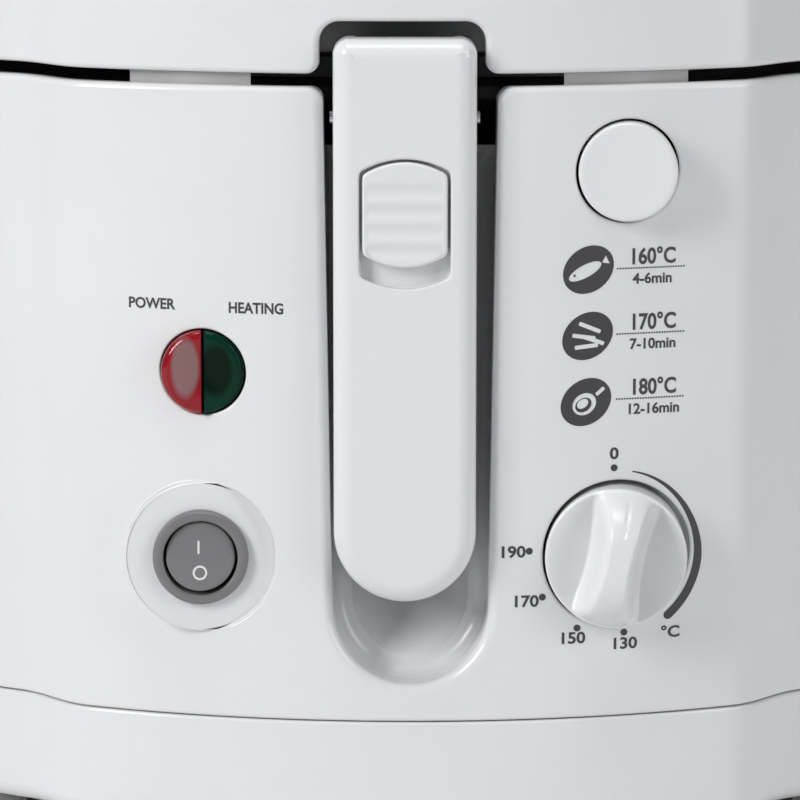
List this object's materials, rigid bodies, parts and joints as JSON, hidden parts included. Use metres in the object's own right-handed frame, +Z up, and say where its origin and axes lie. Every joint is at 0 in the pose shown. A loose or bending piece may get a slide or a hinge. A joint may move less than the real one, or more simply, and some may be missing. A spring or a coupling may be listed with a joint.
{
  "type": "deep fryer",
  "caption": "Household deep fryer with hinged lid, oval oil pot and basket, fold-down front handle, thermostat dial, rocker switch and lid button.",
  "frame": {"origin": "centre of the overall box, on the surface it stands on", "axes": "+X to the right seen from the front, the control panel faces -Y, +Z up"},
  "size_m": [0.265, 0.37, 0.242],
  "materials": {
    "white_plastic": "glossy moulded",
    "inner_plastic": "satin moulded",
    "grey_plastic": "satin moulded",
    "black_plastic": "matte moulded",
    "rubber": "matte",
    "silicone": "matte",
    "steel": "satin",
    "plated_wire": "bright plated",
    "aluminium_sheet": "satin",
    "non_stick": "non-stick coated",
    "red_lens": "clear coloured",
    "green_lens": "clear coloured",
    "window_glass": "clear",
    "ceramic": "matte",
    "filter_foam": "open foam"
  },
  "bodies": {
    "fryer": {"housing": "white_plastic", "base": "white_plastic", "rim_collar": "inner_plastic", "switch_body": "grey_plastic", "cord_gland": "black_plastic", "lamp_holder": "black_plastic", "foot_front_left": "rubber", "foot_front_right": "rubber", "foot_rear_left": "rubber", "foot_rear_right": "rubber", "base_screw_1": "steel", "base_screw_2": "steel", "base_screw_3": "steel", "base_screw_4": "steel", "hinge_pin": "steel", "lid_spring": "steel", "latch_pin": "steel", "button_spring": "steel", "heating_element": "steel", "sensor_bulb": "steel", "thermal_cutout": "steel", "handle_pin": "steel", "slider_spring": "steel", "handle_bracket": "steel", "basket": "plated_wire", "heat_shield": "aluminium_sheet", "pot": "non_stick", "lamp_lens_red": "red_lens", "lamp_lens_green": "green_lens", "thermostat": "ceramic", "terminal_block": "ceramic"},
    "lid": {"lid_shell": "white_plastic", "window_frame": "grey_plastic", "window_glass": "window_glass", "filter_cover": "white_plastic", "filter_pad": "filter_foam", "lid_liner": "aluminium_sheet", "liner_screw_1": "steel", "liner_screw_2": "steel", "liner_screw_3": "steel", "liner_screw_4": "steel", "lid_gasket": "silicone", "hinge_arm": "inner_plastic", "lid_striker": "inner_plastic"},
    "handle": {"handle": "white_plastic"},
    "slider": {"handle_slider": "white_plastic"},
    "button": {"release_button": "white_plastic"},
    "hook": {"latch_hook": "inner_plastic"},
    "dial": {"temperature_dial": "white_plastic"},
    "rocker": {"power_rocker": "grey_plastic"}
  },
  "joints": [
    {"name": "lid_hinge", "type": "hinge", "parent": "fryer", "child": "lid", "pos_m": [0, 0.172, 0.196], "axis": [-1, 0, 0], "range_deg": [0, 80], "deforming": ["lid_spring"]},
    {"name": "handle_fold", "type": "hinge", "parent": "fryer", "child": "handle", "pos_m": [-0.0013, -0.17, 0.1795], "axis": [-1, 0, 0], "range_deg": [0, 90]},
    {"name": "handle_slider_slide", "type": "slide", "parent": "handle", "child": "slider", "axis": [0, 0, -1], "range_m": [0, 0.005], "stiffness_N_per_m": 400, "deforming": ["slider_spring"]},
    {"name": "release_button_press", "type": "slide", "parent": "fryer", "child": "button", "axis": [0, 1, 0], "range_m": [0, 0.004], "stiffness_N_per_m": 600, "deforming": ["button_spring"]},
    {"name": "latch_hook_swing", "type": "hinge", "parent": "fryer", "child": "hook", "pos_m": [0.0515, -0.1535, 0.1816], "axis": [1, 0, 0], "range_deg": [0, 15]},
    {"name": "temperature_dial_turn", "type": "hinge", "parent": "fryer", "child": "dial", "pos_m": [0.0492, -0.17, 0.074], "axis": [0, 1, 0], "range_deg": [-11, 261]},
    {"name": "power_rocker_tip", "type": "hinge", "parent": "fryer", "child": "rocker", "pos_m": [-0.0502, -0.1685, 0.0738], "axis": [1, 0, 0], "range_deg": [0, 18]}
  ],
  "couplings": [
    {"joint": "latch_hook_swing", "follows": "release_button_press", "rad_per_m": 64}
  ]
}
